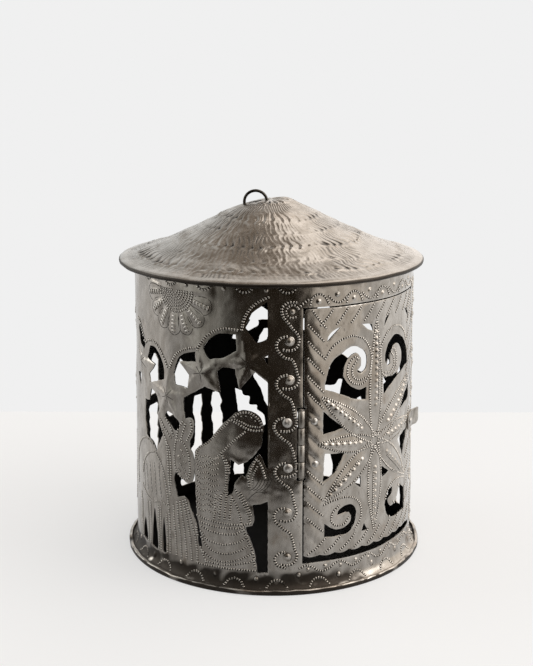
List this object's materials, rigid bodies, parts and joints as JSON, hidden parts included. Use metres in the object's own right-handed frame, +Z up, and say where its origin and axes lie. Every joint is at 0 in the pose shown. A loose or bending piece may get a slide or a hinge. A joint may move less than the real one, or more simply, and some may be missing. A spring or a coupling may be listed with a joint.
{
  "type": "nativity lantern",
  "caption": "Round pierced and chased steel candle lantern with a hammered cone roof, a hanging loop and a hinged door cut with a poinsettia.",
  "frame": {"origin": "centre of the base plate's underside", "axes": "+Z up through the roof, -Y out of the middle of the door, +X to the right of the door as seen from outside"},
  "size_m": [0.176, 0.176, 0.2111],
  "materials": {
    "chased_steel": "aged bare steel, chased",
    "hammered_steel": "aged bare steel, hammered",
    "hinge_steel": "worn plated steel",
    "rivet_steel": "bright worn steel",
    "wire_steel": "dark annealed wire"
  },
  "bodies": {
    "lantern": {"wall_shell": "chased_steel", "base_plate": "hammered_steel", "roof_cone": "hammered_steel", "hanging_loop": "wire_steel", "hinge_leaf_frame": "hinge_steel", "hinge_pin": "hinge_steel", "rivet_frame_upper": "rivet_steel", "rivet_frame_lower": "rivet_steel", "rivet_seam_1": "rivet_steel", "rivet_seam_2": "rivet_steel", "rivet_seam_3": "rivet_steel", "rivet_seam_4": "rivet_steel"},
    "door": {"door_panel": "chased_steel", "hinge_leaf_door": "hinge_steel", "latch_tab": "hinge_steel", "rivet_door_upper": "rivet_steel", "rivet_door_lower": "rivet_steel", "rivet_latch": "rivet_steel"}
  },
  "joints": [
    {"name": "door_hinge", "type": "hinge", "parent": "lantern", "child": "door", "pos_m": [-0.0441, -0.06805, 0.06532], "axis": [-0.006, -0.0092, -0.9999], "range_deg": [0, 115]}
  ]
}
